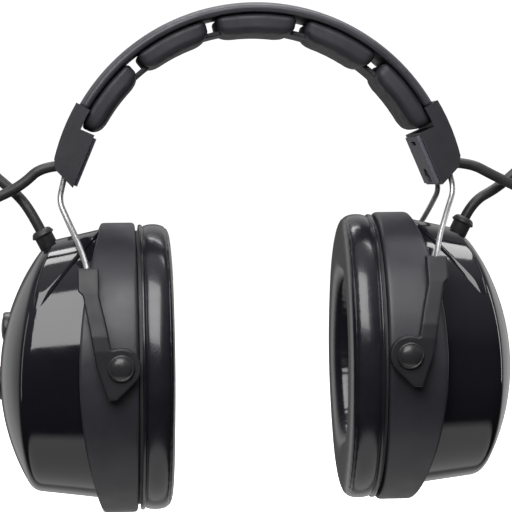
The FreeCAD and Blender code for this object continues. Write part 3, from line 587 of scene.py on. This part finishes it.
def build_liner(materials):
    edges = [-LAST_PAD, -PAD_EDGES[1], -PAD_EDGES[0], PAD_EDGES[0], PAD_EDGES[1], LAST_PAD]
    for index, (low, high) in enumerate(zip(edges, edges[1:])):
        first = low + (PAD_GAP if index else 0)
        last = high - (PAD_GAP if index < 4 else 0)
        half = (math.radians(last - first) / 2 * PAD_RADIUS, PAD_HALF_WIDTH, PAD_HALF_DEPTH)
        block, faces = rounded_block(half, 2.6, 26)
        u, v, w = block[:, 0], block[:, 1], block[:, 2]
        ends, sides = np.abs(u / half[0]), np.abs(v / half[1])
        under = np.clip(0.5 - w / (2 * PAD_HALF_DEPTH), 0, 1)
        # The underside is crowned, rises towards the pad's ends and draws in where it is welded.
        w = w + under * (1.9 * np.clip((ends - 0.55) / 0.45, 0, 1) ** 2 + 0.9 * sides**4 - 0.15)
        v = v * (1 - 0.045 * under * ends**2) + np.sign(v) * 0.25 * (1 - ends**2) * (sides > 0.8)
        ripple = 0.06 * np.sin(u * 1.7 + 2 * index) * np.sin(v * 0.9)
        w = w + under * ripple
        angle = (first + last) / 2 + np.degrees(u / PAD_RADIUS)
        radius = PAD_RADIUS + w
        # The outermost pads' ends tuck under the end caps.
        tuck = np.abs(angle) > COVER_END - 0.6
        radius = np.where(tuck, np.minimum(radius, 69.6), radius)
        points = bent(np.stack([angle, v, radius], -1))
        obj = outward(make(f"liner_pad_{index + 1}", points * MM, faces))
        dress(obj, materials["liner"], "headband", "liner_rubber", "comfort_liner")
        modify(obj, "SUBSURF", levels=1, render_levels=1)
    # A thin strip behind the pads joins them.
    half = (math.radians(60) * LINK_RADIUS, 10.8, 0.85)
    block, faces = rounded_block(half, 0.5, 60)
    angle = np.degrees(block[:, 0] / LINK_RADIUS)
    points = np.stack([angle, block[:, 1], LINK_RADIUS + 0.1 + block[:, 2]], -1)
    obj = outward(make("liner_link", bent(points) * MM, faces))
    dress(obj, materials["liner"], "headband", "liner_rubber", "comfort_liner")


# ------------------------------------------------------------------ cups

CUP_Z = -117.3
RING_HALF = (43.0, 52.9)
RING_BACK = 43.5
# The ring's outer edge bows: it is an arc, seen from the front, about this centre.
EDGE_CENTRE_X = -105
EDGE_RADIUS = 169.5
PIVOT_X = 50.0
PIVOT_Z = -113.9
PIVOT_BOSS_Y = 40.95
KEY_Y = -2
KEY_LEVELS = {"upper": -102.7, "lower": -122.5}
# The shell is an oval column that tapers outward from its mouth, crossed with a ball for its face.
SHELL_MOUTH = 52.0
SHELL_REACH = 44
SHELL_WALL = 2.5
SHELL_FACE_CENTRE = np.array([16.0, 0, -120.5])
SHELL_FACE_RADIUS = 77.0
RIM_BLEND = 2.2


def end_word(side, end):
    """Front or rear, for the pivot on the right-hand cup's low (-1) or high (1) side in Y."""
    return "front" if (end < 0) == (side == "right") else "rear"


def build_ring(side, materials):
    count = 200
    _, point, normal = oval(*RING_HALF, count)
    edge = EDGE_CENTRE_X + np.sqrt(EDGE_RADIUS**2 - point[:, 1] ** 2)
    rows = []
    # Each entry is (share of the way from the back to the bowed edge, offset in x, inset).
    section = [
        (0, 0.0, 1.3),
        (0, 0.15, 0.6),
        (0, 0.6, 0.15),
        (0, 1.3, 0.0),
        (0, 2.4, 0.0),
        (0.25, 1.0, 0.0),
        (0.5, 0.0, 0.0),
        (0.75, 0.0, 0.0),
        (1, -2.6, 0.0),
        (1, -1.0, 0.02),
        (1, -0.35, 0.25),
        (1, 0.0, 0.8),
        (1, -0.05, 1.3),
        (1, -0.5, 1.75),
        (1, -1.4, 1.95),
        (0, 2.6, 2.0),
        (0, 2.0, 2.4),
        (0, 2.0, 9.0),
        (0, 2.0, 15.4),
        (0, 1.5, 15.9),
        (0, 0.5, 15.9),
        (0, 0.0, 15.4),
        (0, 0.0, 8.0),
    ]
    for share, offset, inset in section:
        x = RING_BACK + share * (edge - RING_BACK) + offset
        yz = point - normal * inset
        rows.append(np.stack([x, yz[:, 0], yz[:, 1] + CUP_Z], -1))
    points = np.concatenate(rows)
    faces = grid_faces(len(section), count, wrap_rows=True, wrap_columns=True)
    obj = outward(make(f"{side}_mounting_collar", at(side, points), faces))
    modify(obj, "SUBSURF", levels=1, render_levels=1)
    dress(obj, materials["ring"], f"{side}_cup", "arm_plastic", f"{side}_mounting_ring")
    for end in (-1, 1):
        boss = [(0, 0), (0, 5.2), (0.4, 5.85), (1.0, 6.0), (2.6, 6.0), (2.95, 5.9), (3.05, 5.5), (3.05, 0)]
        points, faces = spin(boss, 48, (PIVOT_X, end * PIVOT_BOSS_Y, PIVOT_Z), (0, end, 0), (1, 0, 0))
        name = f"{side}_pivot_boss_{end_word(side, end)}"
        obj = outward(make(name, at(side, points), faces))
        dress(obj, materials["ring"], f"{side}_cup", "arm_plastic", f"{side}_mounting_ring")


def build_pins(side, materials):
    for end in (-1, 1):
        head = [(0, 0), (0, 3.0), (7.6, 3.0), (7.7, 4.4), (7.9, 4.65), (8.3, 4.7), (8.8, 4.55), (9.0, 4.3)]
        head += [(9.0, 4.0), (8.85, 3.85), (9.0, 3.7), (9.35, 3.3), (9.65, 2.6), (9.85, 1.7)]
        head += [(9.95, 0.8), (9.98, 0)]
        points, faces = spin(head, 56, (PIVOT_X, end * 40.5, PIVOT_Z), (0, end, 0), (1, 0, 0))
        name = f"{side}_pivot_button_{end_word(side, end)}"
        obj = outward(make(name, at(side, points), faces))
        modify(obj, "SUBSURF", levels=1, render_levels=1)
        dress(obj, materials["pin"], f"{side}_cup", "pin_plastic", f"{side}_pivot_pins")


def shell_section(x, inset):
    """The shell's tapered oval at x: half width, half height and the height of its middle."""
    s = (x - SHELL_MOUTH) / SHELL_REACH
    return 40.4 - 6.4 * s - inset, 49.2 - 7.7 * s - inset, -116.1 - 2.1 * s


def shell_field(p, inset):
    """Below 0 inside the shell's form: a tapered oval crossed with a ball, with a rounded rim."""
    half_y, half_z, middle = shell_section(p[..., 0], inset)
    ratio = np.sqrt((p[..., 1] / half_y) ** 2 + ((p[..., 2] - middle) / half_z) ** 2)
    side = (ratio - 1) * np.minimum(half_y, half_z)
    ball = np.linalg.norm(p - SHELL_FACE_CENTRE, axis=-1) - (SHELL_FACE_RADIUS - inset)
    mix = np.clip(0.5 + 0.5 * (side - ball) / RIM_BLEND, 0, 1)
    return ball * (1 - mix) + side * mix + RIM_BLEND * mix * (1 - mix)


def march(start, direction, field):
    """Where a field goes from negative to positive along each direction, by halving 80 mm."""
    low, high = np.zeros(direction.shape[:-1]), np.full(direction.shape[:-1], 80.0)
    for _ in range(40):
        middle = (low + high) / 2
        inside = field(start + direction * middle[..., None]) < 0
        low, high = np.where(inside, middle, low), np.where(inside, high, middle)
    return start + direction * low[..., None]


def shell_surface(inset, rows, columns, first_x):
    """Rings of points from the shell's mouth to its crest."""
    angle = np.linspace(0, 2 * np.pi, columns, endpoint=False)
    made = []
    for x in (first_x, first_x + 1, first_x + 2.5):
        half_y, half_z, middle = shell_section(x, inset)
        y, z = half_y * np.cos(angle), half_z * np.sin(angle) + middle
        made.append(np.stack([np.full(columns, x), y, z], -1))
    start = np.array([first_x + 4, 0, -117.0])
    lift = np.radians(90) * np.linspace(0, 1, rows, endpoint=False) ** 1.05
    radial = np.stack([np.zeros(columns), np.cos(angle), np.sin(angle) * 1.22], -1)
    radial /= np.linalg.norm(radial, axis=1, keepdims=True)
    for a in lift:
        direction = math.cos(a) * radial + math.sin(a) * np.array([1.0, 0, 0])
        made.append(march(start, direction, lambda p: shell_field(p, inset)))
    crest = march(start, np.array([[1.0, 0, 0]]), lambda p: shell_field(p, inset))
    return np.concatenate(made), len(made), crest


def shell_holes(side):
    """What is cut out of a shell: (points, faces) for the two buttons, or the lid and its knuckle."""
    if side == "left":
        profile = [(0, 0), (0, 6.45), (30, 6.45), (30, 0)]
        return [spin(profile, 64, (75, KEY_Y, z), (1, 0, 0), (0, 1, 0)) for z in KEY_LEVELS.values()]
    lid, lid_faces = rounded_block((15, 20.3, 25.175), 1.2, 8)
    knuckle, knuckle_faces = rounded_block((4, 5.3, 1.6), 0.3, 4)
    return [(lid + (86, 0, -117.975), lid_faces), (knuckle + (89, 0, -143.6), knuckle_faces)]


def build_shell(side, materials):
    columns = 168
    outer, rows, crest = shell_surface(0.0, 64, columns, SHELL_MOUTH)
    inner, inner_rows, inner_crest = shell_surface(SHELL_WALL, 64, columns, SHELL_MOUTH + 0.2)
    points = np.concatenate([outer, crest, inner, inner_crest])
    faces = grid_faces(rows, columns, wrap_columns=True)
    tip = rows * columns
    shift = tip + 1
    faces += grid_faces(inner_rows, columns, wrap_columns=True, start=shift)
    inner_tip = shift + inner_rows * columns
    for j in range(columns):
        following = (j + 1) % columns
        faces.append((tip - columns + j, tip, tip - columns + following))
        faces.append((inner_tip - columns + j, inner_tip, inner_tip - columns + following))
        faces.append((j, following, shift + following, shift + j))
    obj = outward(make(f"{side}_outer_shell", at(side, points), faces))
    tools = [outward(make("hole", at(side, hole), hole_faces)) for hole, hole_faces in shell_holes(side)]
    for tool in tools:
        modify(obj, "BOOLEAN", object=tool, operation="DIFFERENCE", solver="EXACT")
    apply_modifiers(obj)
    for tool in tools:
        bpy.data.objects.remove(tool)
    sharp_normals(obj)
    dress(obj, materials["shell"], f"{side}_cup", "shell_gloss", f"{side}_shell")


def surface_x(y, z):
    """Where the shell's face lies at (y, z)."""
    start = np.array([[58.0, y, z]])
    return float(march(start, np.array([[1.0, 0, 0]]), lambda p: shell_field(p, 0))[0, 0])


def build_keys(materials):
    for name, z in KEY_LEVELS.items():
        face = surface_x(KEY_Y, z)
        rim = [(-7.3, 0), (-7.3, 7.1), (-6.2, 7.1), (-6.2, 6.15), (0.0, 6.15), (0.5, 6.0), (0.8, 5.6)]
        rim += [(0.85, 5.2)]
        dome = [(0.7, 4.9), (0.75, 4.6), (1.05, 3.9), (1.3, 3.0), (1.45, 2.0), (1.5, 1.0), (1.52, 0)]
        points, faces = spin(rim + dome, 64, (face, KEY_Y, z), (1, 0, 0), (0, 1, 0))
        obj = outward(make(f"{name}_push_button", at("left", points), faces))
        modify(obj, "SUBSURF", levels=1, render_levels=1)
        dress(obj, materials["key"], f"{name}_button", "button_rubber", f"{name}_button")


def build_top_cover(side, materials):
    """A crescent-shaped raised cover that wraps over the top of the shell from front to rear."""
    rows, columns = 90, 26
    along = np.sin(np.linspace(-np.pi / 2, np.pi / 2, rows))
    across = np.sin(np.linspace(-np.pi / 2, np.pi / 2, columns))
    v, u = np.meshgrid(along, across, indexing="ij")
    half_length, half_width = 31.0, 8.6
    y = v * half_length
    middle = 64.4 + 14.5 * v**2
    x = middle + u * (half_width * np.sqrt(np.clip(1 - v**2, 0, 1)) + 0.15)
    # It stands 0.9 mm proud, and its border sinks into the shell.
    inside = (1 - v**2) * (1 - u**2)
    rise = 1.25 * np.clip(inside / 0.10, 0, 1) ** 0.5 - 0.35
    start = np.stack([x, y, np.full(x.shape, -112.0)], -1)
    up = np.zeros(start.shape)
    up[..., 2] = 1
    skin = march(start, up, lambda p: shell_field(p, 0) - rise)
    under = march(start, up, lambda p: shell_field(p, 0.6))
    points = np.concatenate([skin.reshape(-1, 3), under.reshape(-1, 3)])
    faces = grid_faces(rows, columns)
    size = rows * columns
    faces += grid_faces(rows, columns, start=size)
    border = [(0, j) for j in range(columns)] + [(i, columns - 1) for i in range(1, rows)]
    border += [(rows - 1, j) for j in range(columns - 2, -1, -1)] + [(i, 0) for i in range(rows - 2, 0, -1)]
    ring = [i * columns + j for i, j in border]
    for a, b in zip(ring, ring[1:] + ring[:1]):
        faces.append((a, b, b + size, a + size))
    obj = outward(make(f"{side}_raised_cover", at(side, points), faces))
    dress(obj, materials["shell"], f"{side}_cup", "shell_gloss", f"{side}_top_cover")


# ------------------------------------------------------------------ cushions


def inflate(points, faces, held, cap):
    """How far air pressure moves a soft skin, as a function of place, all in millimetres."""
    # The skin is remeshed coarsely and blown up by a short cloth simulation, with its back held.
    obj = outward(make("cloth_skin", np.asarray(points) * MM, faces))
    remesh = modify(obj, "REMESH", mode="VOXEL", voxel_size=0.0042)
    remesh.use_smooth_shade = True
    apply_modifiers(obj)
    rest = np.array([v.co[:] for v in obj.data.vertices])
    group = obj.vertex_groups.new(name="held")
    group.add([i for i, p in enumerate(rest) if held(p / MM)], 1.0, "REPLACE")
    cloth = modify(obj, "CLOTH")
    cloth.settings.quality = 6
    cloth.settings.mass = 0.3
    cloth.settings.use_pressure = True
    cloth.settings.uniform_pressure_force = 4
    cloth.settings.effector_weights.gravity = 0
    cloth.settings.vertex_group_mass = "held"
    cloth.point_cache.frame_start, cloth.point_cache.frame_end = 1, CLOTH_FRAMES
    scene = bpy.context.scene
    for step in range(1, CLOTH_FRAMES + 1):
        scene.frame_set(step)
    shape = obj.evaluated_get(bpy.context.evaluated_depsgraph_get())
    moved = (np.array([v.co[:] for v in shape.data.vertices]) - rest) / MM
    length = np.linalg.norm(moved, axis=1, keepdims=True)
    moved *= np.minimum(1, cap / np.maximum(length, 1e-9))
    tree = KDTree(len(rest))
    for i, p in enumerate(rest / MM):
        tree.insert(p, i)
    tree.balance()
    bpy.data.objects.remove(obj)
    scene.frame_set(1)

    def shift(spots):
        found = np.zeros(np.shape(spots))
        for i, spot in enumerate(spots):
            near = tree.find_n(spot, 8)
            weight = np.array([1 / (distance + 0.8) ** 2 for _, _, distance in near])
            found[i] = (weight[:, None] * moved[[j for _, j, _ in near]]).sum(0) / weight.sum()
        return found

    return shift


CUSHION_FACE = 30.0
CUSHION_MIDLINE = (30.75, 40.85)
CUSHION_WELT_X = 40.8
CLOTH_FRAMES = 20


def cushion_skin():
    """The cushion's seams, grooves and bulge before it is inflated: points and faces."""
    count = 240
    angle, point, normal = oval(*CUSHION_MIDLINE, count)
    # Section as (x, distance outward from the middle of the ring).
    section = [
        (42.3, -8.5),
        (42.35, 4.0),
        (42.3, 10.6),
        (42.1, 11.15),
        (41.5, 11.3),
        (41.0, 10.9),
        (40.7, 10.45),
        (40.2, 10.8),
        (38.6, 11.2),
        (36.4, 11.3),
        (34.4, 11.0),
        (33.0, 10.4),
        (32.5, 9.75),
        (32.2, 9.75),
        (31.7, 9.1),
        (31.1, 7.4),
        (30.7, 4.0),
        (30.6, 0.0),
        (30.8, -4.0),
        (31.6, -7.6),
        (33.4, -10.0),
        (36.5, -10.8),
        (39.5, -10.7),
        (41.6, -10.1),
    ]
    profile = catmull(section, 4)
    rows = []
    for x, out in profile:
        softness = np.clip((42.0 - x) / 6, 0, 1)
        pucker = 0.05 * np.sin(angle * 61) + 0.035 * np.sin(angle * 97 + 1.3)
        near_seam = math.exp(-(((x - 32.4) / 0.9) ** 2)) if out > 8 else 0.0
        inner_fold = math.exp(-(((out + 9.5) / 2.5) ** 2))
        wander = 0.14 * np.sin(angle * 3 + 0.7 + x * 0.2) + 0.08 * np.sin(angle * 7 + 2.1)
        swell = softness * (wander + pucker * (near_seam + inner_fold))
        yz = point + normal * (out + swell)[:, None]
        rows.append(np.stack([np.full(count, x) - 0.25 * swell, yz[:, 0], yz[:, 1] + CUP_Z], -1))
    faces = grid_faces(len(profile), count, wrap_rows=True, wrap_columns=True)
    return np.concatenate(rows), faces


def inflated_cushion():
    points, faces = cushion_skin()
    shift = inflate(points, faces, lambda p: p[0] > CUSHION_WELT_X, cap=0.7)
    soft = np.clip((41.0 - points[:, :1]) / 3, 0, 1)
    points = points + soft * shift(points)
    points[:, 0] = np.maximum(points[:, 0], CUSHION_FACE)
    return points, faces


def build_cushion(side, skin, materials):
    points, faces = skin
    obj = outward(make(f"{side}_ear_cushion", at(side, points), faces))
    modify(obj, "SUBSURF", levels=1, render_levels=1)
    dress(obj, materials["vinyl"], f"{side}_cup", "cushion_vinyl", f"{side}_cushion")


def build_foam(side, materials):
    """An open-cell foam sheet with soft edges."""
    rings, count = 30, 160
    half_y, half_z = 37.8, 46.8
    front, back = 46.0, 51.4
    radius = np.linspace(0, 1, rings) ** 0.8
    angle = np.linspace(0, 2 * np.pi, count, endpoint=False)
    rows = []
    for face in (0, 1):
        for share in radius if face == 0 else radius[::-1]:
            round_off = 2.4 * max(0.0, (share - 0.93) / 0.07) ** 2
            y, z = half_y * share * np.cos(angle), half_z * share * np.sin(angle)
            dimple = 0.3 * np.sin(y * 0.9) * np.sin(z * 0.8) + 0.25 * rng.standard_normal(count)
            x = front + round_off + dimple if face == 0 else back - round_off + 0 * angle
            rows.append(np.stack([x, y, z + CUP_Z], -1))
    points = np.concatenate(rows)
    faces = grid_faces(len(rows), count, wrap_columns=True)
    obj = outward(make(f"{side}_foam_sheet", at(side, points), faces))
    dress(obj, materials["foam"], f"{side}_cup", "foam", f"{side}_foam_liner")


# ------------------------------------------------------------------ cables

CABLE_RADIUS = 1.9
CABLE_START = {"left": (68.5, 5.0, -46.4), "right": (68.5, -5.0, -46.4)}
CABLE_ROUTE = {
    "right": [
        (78.4, -5.0, -46.4),
        (87.6, -4.9, -51.4),
        (97.8, -4.4, -56.2),
        (108.2, -3.4, -61.6),
        (118.0, -1.6, -65.2),
        (127.3, 1.0, -62.0),
        (132.6, 2.6, -53.4),
        (131.9, 3.4, -43.3),
        (124.9, 3.8, -36.0),
        (114.9, 3.8, -35.3),
        (106.6, 3.8, -41.6),
        (98.9, 3.6, -48.9),
        (90.4, 2.6, -56.0),
    ],
    "left": [
        (77.4, 5.0, -46.4),
        (84.6, 4.9, -53.2),
        (93.8, 4.5, -57.9),
        (104.0, 3.6, -61.4),
        (114.4, 2.2, -64.4),
        (124.4, -0.4, -61.8),
        (131.4, -2.2, -54.4),
        (132.4, -3.2, -44.4),
        (126.8, -3.6, -36.1),
        (117.4, -3.8, -33.4),
        (108.4, -3.8, -37.6),
        (100.6, -3.8, -44.6),
        (93.0, -3.4, -51.4),
        (85.8, -2.2, -57.6),
    ],
}
GROMMET = np.array([77.6, 0.0, -67.0])
GROMMET_LEAN = math.radians(27)
GROMMET_AXIS = np.array([math.sin(GROMMET_LEAN), 0, math.cos(GROMMET_LEAN)])
LAST_RUN = 7.0


def smooth_path(name, corners):
    """A NURBS line with the corners as its control points, as an array of points."""
    curve = bpy.data.curves.new(name, "CURVE")
    curve.dimensions = "3D"
    spline = curve.splines.new("NURBS")
    spline.points.add(len(corners) - 1)
    for point, corner in zip(spline.points, corners):
        point.co = (*corner, 1)
    spline.order_u = 3
    spline.use_endpoint_u = True
    spline.resolution_u = 16
    obj = bpy.data.objects.new(name, curve)
    bpy.context.collection.objects.link(obj)
    bpy.context.view_layer.update()
    mesh = bpy.data.meshes.new_from_object(obj.evaluated_get(bpy.context.evaluated_depsgraph_get()))
    points = np.array([v.co[:] for v in mesh.vertices])
    bpy.data.objects.remove(obj)
    return points


def tube_rings(path, radius, count):
    """Rings of points round a path, without twist."""
    tangent = np.gradient(path, axis=0)
    tangent /= np.linalg.norm(tangent, axis=1, keepdims=True)
    side = np.cross(tangent[0], (0, 0, 1.0))
    side /= np.linalg.norm(side)
    angle = np.linspace(0, 2 * np.pi, count, endpoint=False)
    rings = []
    for here, along in zip(path, tangent):
        side = side - along * np.dot(side, along)
        side /= np.linalg.norm(side)
        third = np.cross(along, side)
        rings.append(here + radius * (np.cos(angle)[:, None] * side + np.sin(angle)[:, None] * third))
    return np.array(rings)


def build_cable(side, materials):
    start = at(side, CABLE_START[side], parked=False)
    route = at(side, CABLE_ROUTE[side], parked=False)
    mouth = at(side, GROMMET)
    above = at(side, GROMMET + GROMMET_AXIS * LAST_RUN)
    corners = [start, *route, above, mouth]
    path = smooth_path(f"{side}_cable_line", corners)
    far = int(np.argmax(np.abs(path[:, 0])))
    count = 28
    rings = tube_rings(path, CABLE_RADIUS * MM, count)
    yoke, cup = f"{side}_yoke", f"{side}_cup"
    for name, first, last, bodies in (
        ("upper", 0, far, ("headband", yoke)),
        ("lower", far, len(path) - 1, (yoke, cup)),
    ):
        part, line = rings[first : last + 1], path[first : last + 1]
        faces = grid_faces(len(part), count, wrap_columns=True)
        faces.append(tuple(range(count)))
        faces.append(tuple((len(part) - 1) * count + k for k in reversed(range(count))))
        obj = outward(make(f"{side}_cable_{name}", part.reshape(-1, 3), faces))
        sharp_normals(obj, 60)
        dress(obj, materials["cable"], None, "cable_rubber", f"{side}_cable_loop")
        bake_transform(obj)


def build_grommet(side, materials):
    """The flexible sleeve the cable goes into the shell by, with a lip and a collar round the cable."""
    sleeve = [(-9, 0), (-9, 3.2), (-8.8, 3.4), (-2.4, 3.4), (-2.1, 3.55), (-2.0, 4.0), (-1.75, 4.15)]
    lip = [(-1.4, 4.1), (-0.4, 3.6), (-0.05, 3.3), (0.2, 2.9), (0.35, 2.5), (0.3, 2.1), (0, 1.95)]
    lip += [(-0.2, 1.9), (-0.2, 0)]
    points, faces = spin(sleeve + lip, 56, GROMMET, GROMMET_AXIS, (0, 1, 0))
    obj = outward(make(f"{side}_cable_sleeve", at(side, points), faces))
    dress(obj, materials["cable"], f"{side}_cup", "cable_rubber", f"{side}_cable_grommet")


# ------------------------------------------------------------------ carried-over nodes


def finish_nodes(materials):
    """Materials, and softened edges, for the CAD nodes that stay."""
    kinds = {
        "band_spring": "steel",
        "spring_rivets": "steel",
        "lid_hinge_pin": "steel",
        "band_lead": "cable",
        "circuit_board": "board",
        "batteries": "wrap",
        "battery_contacts": "nickel",
        "battery_cradle": "inner",
        "battery_lid": "shell",
    }
    for side in SIDES:
        kinds[f"end_cap_{side}"] = "cap"
        kinds[f"cap_plate_{side}"] = "plate"
        kinds[f"{side}_cushion_plate"] = "inner"
        kinds[f"{side}_baffle"] = "inner"
        kinds[f"{side}_speaker"] = "metal"
        for end in ("front", "rear"):
            kinds[f"{side}_wire_{end}"] = "steel"
            kinds[f"{side}_arm_{end}"] = "arm"
    rounding = {"end_cap": 0.9, "cap_plate": 0.35, "battery_lid": 0.3}
    for name, kind in kinds.items():
        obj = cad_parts[name]
        for slot_here in obj.material_slots:
            slot_here.material = materials[kind]
        for word, width in rounding.items():
            if word in name:
                crisp(obj, width)
        if "_arm_" in name:
            rounded_off(obj, grain=0.3, passes=14)


def build_floor(materials):
    size, level = 3.0, -0.215
    obj = make(
        "floor",
        [(-size, -size, level), (size, -size, level), (size, size, level), (-size, size, level)],
        [(0, 1, 2, 3)],
    )
    obj.data.materials.append(materials["floor"])
    # The floor only shows itself; the world's pale table lights the object from below.
    obj.visible_glossy = False
    obj.visible_diffuse = False


set_camera()
set_light()
made = make_materials()
build_floor(made)
build_cover(made)
build_liner(made)
cushion = inflated_cushion()
for side_name in SIDES:
    build_cable(side_name, made)
    build_grommet(side_name, made)
    build_ring(side_name, made)
    build_pins(side_name, made)
    build_shell(side_name, made)
    build_top_cover(side_name, made)
    build_cushion(side_name, cushion, made)
    build_foam(side_name, made)
build_keys(made)
finish_nodes(made)
